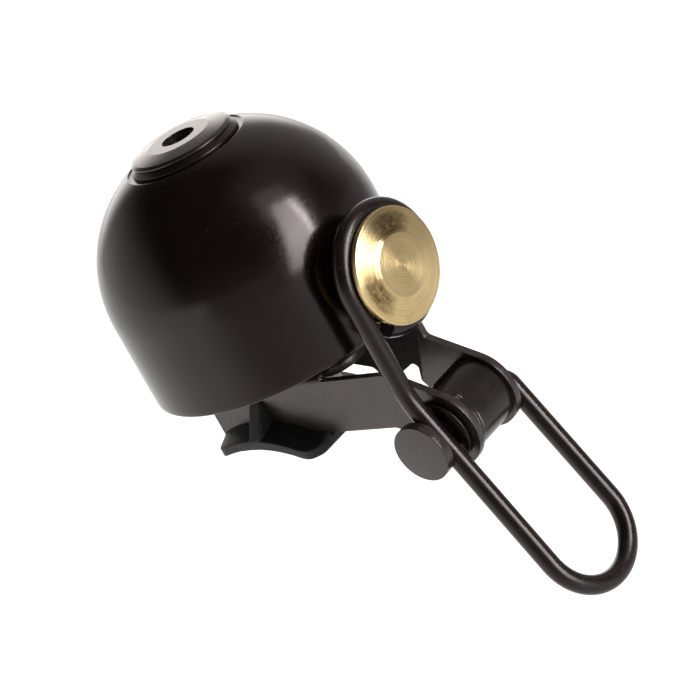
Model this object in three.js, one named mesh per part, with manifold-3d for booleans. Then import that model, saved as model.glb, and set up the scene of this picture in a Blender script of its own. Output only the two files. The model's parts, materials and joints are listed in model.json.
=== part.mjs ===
// Bicycle bell with a swinging wire striker. Millimetres, +Z up.
// Origin: middle of the flat land under the handlebar saddle. +X points from the dome to the hammer,
// +Y is the pivot pin's axis, away from the pin's button head, and the dome's axis is vertical.
import * as THREE from "three";
import { mergeVertices } from "three/addons/utils/BufferGeometryUtils.js";
import Module from "manifold-3d";

const wasm = await Module();
wasm.setup();

// ---------------------------------------------------------------- driving dimensions
// Heights below are measured from the plane of the dome's mouth; RISE lifts them all to the saddle's origin.
const RISE = 12.0;
const AHEAD = 8.0; // dome axis ahead of the saddle's crown
const GAP = 0.3; // clearance between pieces that touch

const DOME = { r: 18.5, lip: 18.0, wall: 1.5, skirt: 11.4, crown: 17.6, power: 2.06, seatR: 8.1, holeR: 3.3 };
const SEAT_Z = 27.2;
const CAP = { r: 6.85, flatR: 4.3, base: 28.25, edge: 28.65, top: 29.2, recessR: 2.18, recess: 0.6, socket: 3.0 };
const SHANK_R = 2.0;
const POST = { r: 4.2, boreR: 2.3, top: 24.0, bottom: -3.6, stud: 2.4, studEnd: -9.3 };

const SHEET = 1.0; // bracket plate
const CHEEK_Y = 4.75; // outer face of each cheek
const WEB_TOP = -3.9;
const BRACKET_BACK = -15.1;
const WEB_FRONT = 6.6;
const NOSE = { x: 5.85, r: 4.25 }; // rounded front of the web
const PIVOT = { x: 22.7, z: -13.5 };
const EAR_R = 5.3;
const EAR_HOLE = 3.5;
const LOWER_EDGE = -12.5;

const SADDLE = { bar: 20.0, rim: 1.3, lip: 2.3, crown: -12.0, back: -6.9, front: 11.6, side: 8.1, land: 1.6 };

const WIRE_R = 1.25;
const LEG_Y = 7.1; // each leg's distance from the middle plane at the loop
const WAIST_Y = 6.95; // and beside the pivot
const RING = { x: 22.2, z: 7.3, r: 7.3, end: -128 };
const KINK_Z = -7.5;
const LOOP = { x: 31.04, z: -32.45 };
const LEAN = THREE.MathUtils.degToRad(19.5); // lean of the lower legs from vertical

const HAMMER = { r: 7.23, front: 24.37, discR: 3.94, disc: 25.13, grooveR: 5.75, nose: 19.15 };
const PIN = { r: 2.0, headR: 3.87, head: -9.8, headIn: -8.42, discR: 3.4, disc: 5.05, discOut: 5.5 };

// ---------------------------------------------------------------- helpers
const material = (color, roughness, metalness) => new THREE.MeshStandardMaterial({ color, roughness, metalness });
const BLACK_GLOSS = material(0x17140f, 0.3, 0.6);
const BLACK_SATIN = material(0x1c1b1a, 0.45, 0.6);
const PLATE = material(0x4a443e, 0.4, 0.7);
const BRASS = material(0xb58a3c, 0.3, 1.0);
const STEEL = material(0x9a9a98, 0.3, 1.0);
const RUBBER = material(0x25272a, 0.8, 0.0);
const NYLON = material(0x2c2c2c, 0.6, 0.0);

// Turned solid: points are [radius, height] with the outside met on the way up; axis is "x", "y" or "z".
function turned(points, segments, axis) {
  const profile = points.map(([r, h]) => new THREE.Vector2(r, h));
  const geometry = new THREE.LatheGeometry(profile, segments);
  if (axis === "z") geometry.rotateX(Math.PI / 2);
  if (axis === "x") geometry.rotateZ(-Math.PI / 2);
  return geometry;
}

// Closed ring or tube from h0 to h1.
const sleeve = (rIn, rOut, h0, h1, segments, axis) =>
  turned([[rIn, h0], [rOut, h0], [rOut, h1], [rIn, h1], [rIn, h0]], segments, axis);

// Upright prism of a plan outline (x, y) between z0 and z1.
function prism(outline, z0, z1) {
  const shape = new THREE.Shape(outline.map(([x, y]) => new THREE.Vector2(x, y)));
  const geometry = new THREE.ExtrudeGeometry(shape, { depth: z1 - z0, bevelEnabled: false });
  return geometry.translate(0, 0, z0);
}

// Plate of a side outline (x, z) between y0 and y1.
function plate(outline, y0, y1) {
  const geometry = prism(outline, -y1, -y0);
  return geometry.rotateX(Math.PI / 2);
}

function solid(geometry) {
  const bare = geometry.clone();
  bare.deleteAttribute("normal");
  bare.deleteAttribute("uv");
  const merged = mergeVertices(bare, 1e-5);
  return new wasm.Manifold(new wasm.Mesh({
    numProp: 3,
    vertProperties: new Float32Array(merged.attributes.position.array),
    triVerts: new Uint32Array(merged.index.array),
  }));
}

function geometryOf(manifold) {
  const mesh = manifold.getMesh();
  const geometry = new THREE.BufferGeometry();
  geometry.setAttribute("position", new THREE.BufferAttribute(new Float32Array(mesh.vertProperties), 3));
  geometry.setIndex(new THREE.BufferAttribute(new Uint32Array(mesh.triVerts), 1));
  const flat = geometry.toNonIndexed();
  flat.computeVertexNormals();
  return flat;
}

const join = (...geometries) => geometryOf(wasm.Manifold.union(geometries.map(solid)));
const cut = (geometry, ...tools) => geometryOf(tools.map(solid).reduce((s, t) => s.subtract(t), solid(geometry)));
const overlap = (a, b) => geometryOf(solid(a).intersect(solid(b)));

function mesh(name, geometry, look, parent) {
  const node = new THREE.Mesh(geometry, look);
  node.name = name;
  parent.add(node);
  return node;
}

const arcPoints = (cx, cy, r, from, to, count) =>
  Array.from({ length: count + 1 }, (_, i) => {
    const a = THREE.MathUtils.degToRad(from + ((to - from) * i) / count);
    return [cx + r * Math.cos(a), cy + r * Math.sin(a)];
  });

const hexagon = (acrossFlats) => arcPoints(0, 0, acrossFlats / Math.sqrt(3), 0, 300, 5);

// ---------------------------------------------------------------- dome and its mounting
const domeHeight = (r, rx, rz) => DOME.skirt + rz * (1 - (r / rx) ** DOME.power) ** (1 / DOME.power);

function dome() {
  const outer = [[DOME.lip - 0.1, 0], [DOME.r - 0.12, 0.16], [DOME.r, 0.5], [DOME.r, DOME.skirt]];
  for (const f of [0.15, 0.3, 0.45, 0.58, 0.7, 0.8, 0.88]) {
    const r = DOME.seatR + (DOME.r - DOME.seatR) * Math.cos((f * Math.PI) / 2);
    outer.push([r, domeHeight(r, DOME.r, DOME.crown)]);
  }
  outer.push([DOME.seatR, domeHeight(DOME.seatR, DOME.r, DOME.crown)], [DOME.seatR - 0.25, SEAT_Z]);
  const inside = [];
  const rIn = DOME.r - DOME.wall;
  for (const f of [0.75, 0.5, 0.25]) {
    const r = 5.5 + (rIn - 5.5) * Math.cos((f * Math.PI) / 2);
    inside.push([r, domeHeight(r, rIn, DOME.crown - DOME.wall)]);
  }
  const top = domeHeight(5.5, rIn, DOME.crown - DOME.wall);
  const points = [...outer, [DOME.holeR, SEAT_Z], [DOME.holeR, top], [5.5, top], ...inside,
    [rIn, DOME.skirt], [rIn, 0.4], [rIn + 0.3, 0], outer[0]];
  return { geometry: turned(points, 48, "z"), ceiling: top };
}

function domeScrew() {
  const shankEnd = 9;
  const body = turned([[0, shankEnd], [SHANK_R, shankEnd], [SHANK_R, CAP.base], [CAP.r - 0.2, CAP.base],
    [CAP.r, CAP.base + 0.15], [CAP.r, CAP.edge], [6.1, 28.93], [5.2, 29.13], [CAP.flatR, CAP.top], [0, CAP.top]],
    36, "z");
  const recess = turned([[0, CAP.top - CAP.recess], [CAP.recessR, CAP.top - CAP.recess],
    [CAP.recessR, CAP.top + 1], [0, CAP.top + 1]], 32, "z");
  return cut(body, recess, prism(hexagon(CAP.socket), CAP.top - 2.2, CAP.top - CAP.recess + 0.2));
}

function postBody() {
  const body = turned([[0, POST.studEnd], [POST.stud - 0.3, POST.studEnd], [POST.stud, POST.studEnd + 0.3],
    [POST.stud, POST.bottom], [POST.r, POST.bottom], [POST.r, POST.top - 0.4], [POST.r - 0.4, POST.top],
    [POST.boreR, POST.top], [POST.boreR, 8], [0, 8]], 28, "z");
  return body;
}

// ---------------------------------------------------------------- bracket
function cheekOutline(shoulder, relief) {
  const c = PIVOT;
  const archR = SADDLE.bar + SADDLE.rim + GAP;
  const archZ = SADDLE.crown - SADDLE.bar;
  const archAt = (x) => archZ + Math.sqrt(archR ** 2 - (x + AHEAD) ** 2);
  const archEnd = relief ? -0.4 : -AHEAD + Math.sqrt(archR ** 2 - (LOWER_EDGE - archZ) ** 2);
  const points = [[BRACKET_BACK, -5.0]];
  for (let i = 0; i <= 10; i += 1) {
    const x = BRACKET_BACK + ((archEnd - BRACKET_BACK) * i) / 10;
    points.push([x, archAt(x)]);
  }
  if (relief) {
    points.push([-0.4, -8.4], [0.4, -7.6], [3.6, -7.6], [7.2, -8.6], [7.9, -9.8], [11.3, -9.9], [14.1, -8.7],
      [14.7, -9.3], [14.1, -11.2], [14.9, LOWER_EDGE]);
  }
  points.push([15.6, LOWER_EDGE], [16.4, -13.0]);
  points.push(...arcPoints(c.x, c.z, EAR_R, -143, 66, 18));
  points.push([18.4, -5.25], [17.4, -4.95]);
  if (shoulder) points.push([18.2, -5.5], [18.1, -3.3], [17.6, -2.8], [13.2, -2.8], [12.4, -3.6], [11.9, -4.95]);
  points.push([WEB_FRONT - 0.2, -4.95], [WEB_FRONT - 0.2, -5.0]);
  return points;
}

function bracket() {
  const w = CHEEK_Y;
  const t = SHEET;
  const bend = (r, count) => [
    ...arcPoints(w - 1.6, WEB_TOP - 1.6, r, 0, 90, count),
    ...arcPoints(-(w - 1.6), WEB_TOP - 1.6, r, 90, 180, count),
  ];
  const section = [[w, -6.2], ...bend(1.6, 5), [-w, -6.2], [-(w - t), -6.2], ...bend(0.6, 3).reverse(),
    [w - t, -6.2]];
  // Section drawn as (y, z), swept along x.
  const channel = prism(section, BRACKET_BACK, NOSE.x + NOSE.r + 0.5);
  channel.applyMatrix4(new THREE.Matrix4().set(0, 0, 1, 0, 1, 0, 0, 0, 0, 1, 0, 0, 0, 0, 0, 1));
  const nose = arcPoints(NOSE.x, 0, NOSE.r, -75, 75, 14);
  const plan = prism([[BRACKET_BACK - 1, -6], [WEB_FRONT - 0.1, -6], ...nose, [WEB_FRONT - 0.1, 6],
    [BRACKET_BACK - 1, 6]], -8, 0);
  const shell = geometryOf(solid(channel).intersect(solid(plan)));
  const near = plate(cheekOutline(false, false), -w, -(w - t));
  const far = plate(cheekOutline(true, true), w - t, w);
  const body = join(shell, near, far);
  const stud = new THREE.CylinderGeometry(2.8, 2.8, 4, 24).rotateX(Math.PI / 2).translate(0, 0, WEB_TOP - 0.5);
  const bore = new THREE.CylinderGeometry(EAR_HOLE, EAR_HOLE, 20, 28).translate(PIVOT.x, 0, PIVOT.z);
  return cut(body, stud, bore);
}

// ---------------------------------------------------------------- saddle
// Closed body through matching cross-sections, given as lists of [x, y, z] taken counter-clockwise seen from +X.
function lofted(sections) {
  const n = sections[0].length;
  const last = sections.length - 1;
  const at = (i, j) => sections[i][(j + n) % n];
  const rim = sections[0].map(([, y, z]) => new THREE.Vector2(y, z));
  const caps = THREE.ShapeUtils.triangulateShape(rim, []).map(([a, b, c]) =>
    (THREE.ShapeUtils.area([rim[a], rim[b], rim[c]]) > 0 ? [a, b, c] : [a, c, b]));
  const corners = [];
  for (let i = 0; i < last; i += 1) {
    for (let j = 0; j < n; j += 1) {
      corners.push(at(i, j), at(i + 1, j + 1), at(i + 1, j), at(i, j), at(i, j + 1), at(i + 1, j + 1));
    }
  }
  for (const [a, b, c] of caps) corners.push(at(0, c), at(0, b), at(0, a), at(last, a), at(last, b), at(last, c));
  const geometry = new THREE.BufferGeometry();
  geometry.setAttribute("position", new THREE.BufferAttribute(new Float32Array(corners.flat()), 3));
  return geometry;
}

function saddle() {
  const s = SADDLE;
  const zc = s.crown - s.bar;
  const arc = (x) => (Math.abs(x) <= s.land ? s.crown : zc + Math.sqrt((s.bar + 0.064) ** 2 - x * x));
  const toe = arc(8.6);
  const stations = [s.back, -5.3, -4.4, -3.4, -2.5, -s.land, 0, s.land, 2.5, 3.4, 4.4, 5.4, 6.4, 7.5, 8.6, 9.6, 11,
    s.front];
  const under = (x) => (x > 8.6 ? toe - 0.1 - 0.15 * (x - 9.6) : arc(x));
  const wall = CHEEK_Y + GAP;
  const sections = stations.map((x) => {
    const z = under(x);
    const tip = x === s.back || x === s.front ? 0.3 : 0;
    const [base, rim, lip] = [z + tip, z + s.rim - tip, z + s.lip - tip];
    return [[x, -s.side, base], [x, s.side, base], [x, s.side, rim], [x, wall, lip], [x, wall, rim],
      [x, -wall, rim], [x, -wall, lip], [x, -s.side, rim]];
  });
  const corner = 2.6;
  const [hx, hy] = [(s.front - s.back) / 2 - corner, s.side - corner];
  const mid = (s.front + s.back) / 2;
  const plan = prism([...arcPoints(mid + hx, hy, corner, 0, 90, 5), ...arcPoints(mid - hx, hy, corner, 90, 180, 5),
    ...arcPoints(mid - hx, -hy, corner, 180, 270, 5), ...arcPoints(mid + hx, -hy, corner, 270, 360, 5)], -16, 0);
  const plug = new THREE.BoxGeometry(9.2, 6.8, 2.0).translate(0.2, 0, -10.5);
  const rib = (side) => {
    const shape = [[side * (s.side - 0.1), -11.4], [side * wall, -11.4], [side * wall, -6.8],
      [side * (wall + 0.5), -6.8], [side * (s.side - 0.1), -10.6]];
    const geometry = prism(side < 0 ? shape : shape.slice().reverse(), 0.7, 2.7);
    return geometry.applyMatrix4(new THREE.Matrix4().set(0, 0, 1, 0, 1, 0, 0, 0, 0, 1, 0, 0, 0, 0, 0, 1));
  };
  const shell = overlap(lofted(sections), plan);
  return join(shell, plug, rib(-1), rib(1)).translate(-AHEAD, 0, 0);
}

// ---------------------------------------------------------------- striker wire
// Route through given points, kept at its own spacing so that bends get more sections than straights.
class Route extends THREE.Curve {
  constructor(points) {
    super();
    this.points = points;
  }

  getPoint(t, target = new THREE.Vector3()) {
    const at = t * (this.points.length - 1);
    const i = Math.min(Math.floor(at), this.points.length - 2);
    return target.lerpVectors(this.points[i], this.points[i + 1], at - i);
  }

  getPointAt(u, target) {
    return this.getPoint(u, target);
  }

  getTangentAt(u, target = new THREE.Vector3()) {
    const i = Math.round(u * (this.points.length - 1));
    const before = this.points[Math.max(i - 1, 0)];
    const after = this.points[Math.min(i + 1, this.points.length - 1)];
    return target.subVectors(after, before).normalize();
  }
}

// Replaces the corner at b (between a and c) by an arc of the given radius.
function rounded(a, b, c, radius, count) {
  const u = a.clone().sub(b).normalize();
  const v = c.clone().sub(b).normalize();
  const half = Math.acos(THREE.MathUtils.clamp(u.dot(v), -1, 1)) / 2;
  const centre = b.clone().add(u.clone().add(v).normalize().multiplyScalar(radius / Math.sin(half)));
  const start = b.clone().addScaledVector(u, radius / Math.tan(half)).sub(centre);
  const end = b.clone().addScaledVector(v, radius / Math.tan(half)).sub(centre);
  const turn = start.angleTo(end);
  const axis = start.clone().cross(end).normalize();
  return Array.from({ length: count + 1 }, (_, i) =>
    start.clone().applyAxisAngle(axis, (turn * i) / count).add(centre));
}

function between(a, b, step) {
  const count = Math.max(1, Math.round(a.distanceTo(b) / step));
  return Array.from({ length: count - 1 }, (_, i) => a.clone().lerp(b, (i + 1) / count));
}

function striker() {
  const V = (x, y, z) => new THREE.Vector3(x, y, z);
  const down = V(Math.sin(LEAN), 0, -Math.cos(LEAN));
  const loop = V(LOOP.x, 0, LOOP.z);
  const onLeg = (y, z) => V(LOOP.x - (z - LOOP.z) * Math.tan(LEAN), y, z);
  const ring = [];
  for (let a = RING.end; a <= 180; a += 308 / 26) {
    const r = THREE.MathUtils.degToRad(a);
    ring.push(V(RING.x, RING.r * Math.cos(r), RING.z + RING.r * Math.sin(r)));
  }
  const shoulder = V(RING.x, -RING.r, RING.z);
  const kink = onLeg(-WAIST_Y, KINK_Z);
  const nearEnd = V(LOOP.x, -LEG_Y, LOOP.z);
  const farEnd = V(LOOP.x, LEG_Y, LOOP.z);
  const corner = onLeg(WAIST_Y, -13.6);
  const tip = V(corner.x, PIN.disc + 0.15, corner.z);
  const bendKink = rounded(shoulder, kink, nearEnd, 14, 3);
  const bow = Array.from({ length: 13 }, (_, i) => {
    const a = -Math.PI / 2 + (Math.PI * i) / 12;
    return loop.clone().addScaledVector(down, LEG_Y * Math.cos(a)).add(V(0, LEG_Y * Math.sin(a), 0));
  });
  const elbow = rounded(farEnd, corner, V(corner.x, -5, corner.z), 1.4, 5);
  return [...ring, ...between(ring.at(-1), bendKink[0], 5), ...bendKink,
    ...between(bendKink.at(-1), nearEnd, 7), ...bow, ...between(farEnd, elbow[0], 7), ...elbow, tip];
}

function tube(points, radius, sides) {
  const section = new THREE.Shape(arcPoints(0, 0, radius, 0, 360 - 360 / sides, sides - 1)
    .map(([x, y]) => new THREE.Vector2(x, y)));
  const route = new Route(points);
  return new THREE.ExtrudeGeometry(section, { steps: points.length - 1, extrudePath: route, bevelEnabled: false });
}

// ---------------------------------------------------------------- pivot pieces (axis along y, at the origin)
function pivotPin() {
  const p = PIN;
  const neck = 2.7;
  const inner = -CHEEK_Y - 0.9;
  const body = turned([[0, p.head], [p.headR - 0.12, p.head], [p.headR, p.head + 0.12], [p.headR, p.headIn],
    [neck, p.headIn], [neck, inner], [p.r, inner], [p.r, p.disc], [p.discR, p.disc], [p.discR, p.discOut],
    [0, p.discOut]], 32, "y");
  const offset = (LOOP.x - (PIVOT.z - LOOP.z) * Math.tan(LEAN) - PIVOT.x) * Math.cos(LEAN);
  const groove = new THREE.BoxGeometry(8, inner + 0.2 - p.headIn, 12)
    .translate(offset - WIRE_R - GAP + 4, (p.headIn + inner + 0.2) / 2, 0).rotateY(-LEAN);
  const hole = new THREE.CylinderGeometry(WIRE_R + 0.25, WIRE_R + 0.25, 3, 20)
    .translate(LOOP.x - (-13.6 - LOOP.z) * Math.tan(LEAN) - PIVOT.x, p.disc + 1.5, -0.1);
  return cut(body, groove, hole);
}

function springCoil() {
  const turns = 4;
  const points = Array.from({ length: turns * 12 + 1 }, (_, i) => {
    const a = (i / 12) * 2 * Math.PI;
    return new THREE.Vector3(3.0 * Math.cos(a), -2.4 + (4.8 * i) / (turns * 12), 3.0 * Math.sin(a));
  });
  return tube(points, 0.35, 6);
}

// ---------------------------------------------------------------- hammer pieces (axis along x)
function hammerFront() {
  const h = HAMMER;
  const core = turned([[0, 20.85], [2.6, 20.85], [h.grooveR, 20.85], [h.grooveR, 23.66], [h.r - 0.12, 23.66],
    [h.r, 23.78], [h.r, h.front - 0.06], [h.r - 0.1, h.front], [h.discR, h.disc - 0.35], [h.discR, h.disc - 0.1],
    [h.discR - 0.12, h.disc], [0, h.disc]], 40, "x");
  return core;
}

// ---------------------------------------------------------------- assembly
const group = new THREE.Group();
const bell = new THREE.Group();
bell.position.set(AHEAD, 0, RISE);
group.add(bell);

const shellOf = dome();
mesh("bell_dome", shellOf.geometry, BLACK_GLOSS, bell);
mesh("dome_screw", domeScrew(), BLACK_SATIN, bell);
mesh("screw_washer", sleeve(2.3, 7.25, SEAT_Z + GAP, CAP.base - GAP, 40, "z"), STEEL, bell);
mesh("dome_grommet", turned([[2.3, shellOf.ceiling - 0.9], [5.0, shellOf.ceiling - 0.9],
  [5.0, shellOf.ceiling - GAP], [3.0, shellOf.ceiling - GAP], [3.0, SEAT_Z], [2.3, SEAT_Z],
  [2.3, shellOf.ceiling - 0.9]], 28, "z"), NYLON, bell);
mesh("isolator_washer", sleeve(2.3, 5.2, POST.top + GAP, shellOf.ceiling - 1.2, 28, "z"), RUBBER, bell);
mesh("centre_post", postBody(), STEEL, bell);
mesh("post_collar", sleeve(POST.r + GAP, 5.6, -3.6, -2.2, 28, "z"), STEEL, bell);

mesh("bracket", bracket(), PLATE, bell);
mesh("post_lock_washer", sleeve(2.7, 3.45, -5.8, -5.2, 28, "z"), STEEL, bell);
mesh("post_nut", cut(prism(hexagon(6.6), -8.6, -6.1),
  new THREE.CylinderGeometry(2.7, 2.7, 8, 24).rotateX(Math.PI / 2).translate(0, 0, -7)), STEEL, bell);
mesh("saddle_pad", saddle(), RUBBER, bell);

const hub = new THREE.Group();
hub.position.set(PIVOT.x, 0, PIVOT.z);
bell.add(hub);
const inner = CHEEK_Y - SHEET;
mesh("pivot_barrel", sleeve(3.75, 4.7, -(inner - GAP), inner - GAP, 36, "y"), BLACK_SATIN, hub);
mesh("torsion_spring", springCoil(), STEEL, hub);
mesh("near_bushing", sleeve(PIN.r + GAP, EAR_HOLE - GAP, -CHEEK_Y, -inner, 24, "y"), NYLON, hub);
mesh("far_bushing", sleeve(PIN.r + GAP, EAR_HOLE - GAP, inner, CHEEK_Y, 24, "y"), NYLON, hub);
mesh("near_thrust_washer", sleeve(PIN.r + GAP, 4.2, -CHEEK_Y - 0.65, -CHEEK_Y - 0.25, 32, "y"), STEEL, hub);
mesh("pivot_pin", pivotPin(), BLACK_SATIN, hub);

mesh("striker_wire", tube(striker(), WIRE_R, 12), BLACK_SATIN, bell);

const head = new THREE.Group();
head.position.set(0, 0, RING.z);
bell.add(head);
mesh("hammer_front", hammerFront(), BRASS, head);
mesh("hammer_back", turned([[0, 19.95], [5.9, 19.95], [6.6, 20.2], [6.6, 20.55], [0, 20.55]], 40, "x"), BRASS, head);
mesh("strike_nose", turned([[0, HAMMER.nose], [1.6, HAMMER.nose + 0.06], [2.6, HAMMER.nose + 0.22],
  [2.9, HAMMER.nose + 0.5], [0, HAMMER.nose + 0.5]], 28, "x"), BRASS, head);

export default group;
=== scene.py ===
"""Bicycle bell with a wire striker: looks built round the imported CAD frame.

Shapes are in mm until they are placed; coordinates inside materials are in metres.
"""

import json
import math

import bmesh
import bpy
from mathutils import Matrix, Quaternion, Vector


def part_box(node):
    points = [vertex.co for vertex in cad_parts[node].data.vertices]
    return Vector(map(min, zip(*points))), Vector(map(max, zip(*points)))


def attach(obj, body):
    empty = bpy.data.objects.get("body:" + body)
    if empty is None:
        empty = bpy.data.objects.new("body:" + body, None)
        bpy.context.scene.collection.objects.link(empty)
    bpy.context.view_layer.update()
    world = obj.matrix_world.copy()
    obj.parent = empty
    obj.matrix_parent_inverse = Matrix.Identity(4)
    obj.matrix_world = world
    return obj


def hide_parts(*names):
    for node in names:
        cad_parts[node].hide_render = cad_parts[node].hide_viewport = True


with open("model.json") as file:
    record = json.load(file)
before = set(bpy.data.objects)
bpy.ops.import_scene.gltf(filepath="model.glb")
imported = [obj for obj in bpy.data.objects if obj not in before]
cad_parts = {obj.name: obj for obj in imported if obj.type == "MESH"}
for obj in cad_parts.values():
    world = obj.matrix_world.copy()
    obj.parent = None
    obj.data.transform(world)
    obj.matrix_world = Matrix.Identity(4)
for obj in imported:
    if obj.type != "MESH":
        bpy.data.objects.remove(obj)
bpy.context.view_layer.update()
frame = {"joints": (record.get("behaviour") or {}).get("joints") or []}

MM = 0.001
MOUNTING, STRIKER = "mounting", "striker"

# ---------------------------------------------------------------- places taken from the frame
dome_lo, dome_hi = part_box("bell_dome")
DOME_AXIS = (dome_lo.x + dome_hi.x) / 2
MOUTH = dome_lo.z  # plane of the dome's mouth: heights below are from here, in mm
pivot_pos = Vector(frame["joints"][0]["pos_m"])
PIVOT = Vector(((pivot_pos.x - DOME_AXIS) / MM, 0, (pivot_pos.z - MOUTH) / MM))
hammer_lo, hammer_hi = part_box("hammer_front")
HAMMER_FACE = (hammer_hi.x - DOME_AXIS) / MM
HAMMER_Z = ((hammer_lo.z + hammer_hi.z) / 2 - MOUTH) / MM
HAMMER_R = (hammer_hi.z - hammer_lo.z) / 2 / MM


def place(v):
    """A point in mm from the dome's axis, the middle plane and the mouth, in metres of the row frame."""
    return Vector((DOME_AXIS + v[0] * MM, v[1] * MM, MOUTH + v[2] * MM))


# ---------------------------------------------------------------- mesh helpers
def piece(name, bm, body, mat, nodes=(), sharp=35, weighted=True):
    bmesh.ops.recalc_face_normals(bm, faces=bm.faces)
    mesh = bpy.data.meshes.new(name)
    bm.to_mesh(mesh)
    bm.free()
    for v in mesh.vertices:
        v.co = place(v.co)
    mesh.shade_smooth()
    mesh.set_sharp_from_angle(angle=math.radians(sharp))
    obj = bpy.data.objects.new(name, mesh)
    bpy.context.scene.collection.objects.link(obj)
    obj.data.materials.append(mat)
    if weighted:
        mod = obj.modifiers.new("weighted", "WEIGHTED_NORMAL")
        mod.keep_sharp = True
    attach(obj, body)
    if nodes:
        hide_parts(*nodes)
    return obj


def soften(points, radius=0.12, steps=4, closed=False):
    """Rounds each corner of an (r, h) outline, except the ends of an open one."""
    out = []
    n = len(points)
    for i, p in enumerate(points):
        if not closed and i in (0, n - 1):
            out.append(Vector(p[:2]))
            continue
        b = Vector(p[:2])
        a = Vector(points[(i - 1) % n][:2])
        c = Vector(points[(i + 1) % n][:2])
        u, v = (a - b), (c - b)
        turn = math.pi - u.angle(v)
        if turn < math.radians(12):
            out.append(b)
            continue
        r = p[2] if len(p) > 2 else radius
        cut = min(r * math.tan(turn / 2), u.length * 0.45, v.length * 0.45)
        start, end = b + u.normalized() * cut, b + v.normalized() * cut
        for k in range(steps + 1):
            t = k / steps
            out.append(start * (1 - t) ** 2 + b * 2 * t * (1 - t) + end * t * t)
    return out


def smooth(t):
    t = min(1.0, max(0.0, t))
    return t * t * (3 - 2 * t)


def hex_scale(angle, flats):
    """Radius of a hexagon with this distance from centre to flat, at an angle."""
    a = (angle + math.pi / 6) % (math.pi / 3) - math.pi / 6
    return flats / math.cos(a)


AXES = {
    "x": lambda r, h, a: Vector((h, r * math.cos(a), r * math.sin(a))),
    "y": lambda r, h, a: Vector((r * math.sin(a), h, r * math.cos(a))),
    "z": lambda r, h, a: Vector((r * math.cos(a), r * math.sin(a), h)),
}


def revolved(profile, axis, centre=(0, 0, 0), segments=160, closed=False, radius=None, move=None):
    """Turned solid from (r, h) points. radius(r, h, angle) may reshape a ring, and move(v) a vertex."""
    bm = bmesh.new()
    centre = Vector(centre)
    rings = []
    for r, h in profile:
        if r < 1e-6:
            v = AXES[axis](0, h, 0)
            rings.append([bm.verts.new(centre + (move(v) if move else v))])
            continue
        ring = []
        for k in range(segments):
            a = 2 * math.pi * k / segments
            v = AXES[axis](radius(r, h, a) if radius else r, h, a)
            ring.append(bm.verts.new(centre + (move(v) if move else v)))
        rings.append(ring)
    pairs = list(zip(rings, rings[1:] + (rings[:1] if closed else [])))
    for lower, upper in pairs[: len(rings) if closed else len(rings) - 1]:
        for k in range(segments):
            n = (k + 1) % segments
            quad = [lower[k % len(lower)], lower[n % len(lower)],
                    upper[n % len(upper)], upper[k % len(upper)]]
            corners = list(dict.fromkeys(quad))
            if len(corners) > 2:
                bm.faces.new(corners)
    return bm


def ring_profile(r_in, r_out, h0, h1, edge=0.1):
    return soften([(r_in, h0), (r_out, h0), (r_out, h1), (r_in, h1)], edge, 3, closed=True)


def swept(points, radius, sides=32, chamfer=0.2):
    """Round wire along points, with chamfered ends."""
    bm = bmesh.new()
    n = len(points)
    tangents = [(points[min(i + 1, n - 1)] - points[max(i - 1, 0)]).normalized() for i in range(n)]
    side = tangents[0].orthogonal().normalized()
    rings = []

    def add(centre, tangent, side, r):
        up = tangent.cross(side)
        rings.append([bm.verts.new(centre + (side * math.cos(t) + up * math.sin(t)) * r)
                      for t in (2 * math.pi * k / sides for k in range(sides))])

    for i, (p, t) in enumerate(zip(points, tangents)):
        side = (side - t * side.dot(t)).normalized()
        if i == 0:
            add(p, t, side, radius - chamfer)
            add(p + t * chamfer, t, side, radius)
        elif i == n - 1:
            add(p - t * chamfer, t, side, radius)
            add(p, t, side, radius - chamfer)
        else:
            add(p, t, side, radius)
    for lower, upper in zip(rings, rings[1:]):
        for k in range(sides):
            m = (k + 1) % sides
            bm.faces.new([lower[k], lower[m], upper[m], upper[k]])
    bm.faces.new(rings[0])
    bm.faces.new(rings[-1])
    return bm


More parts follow.
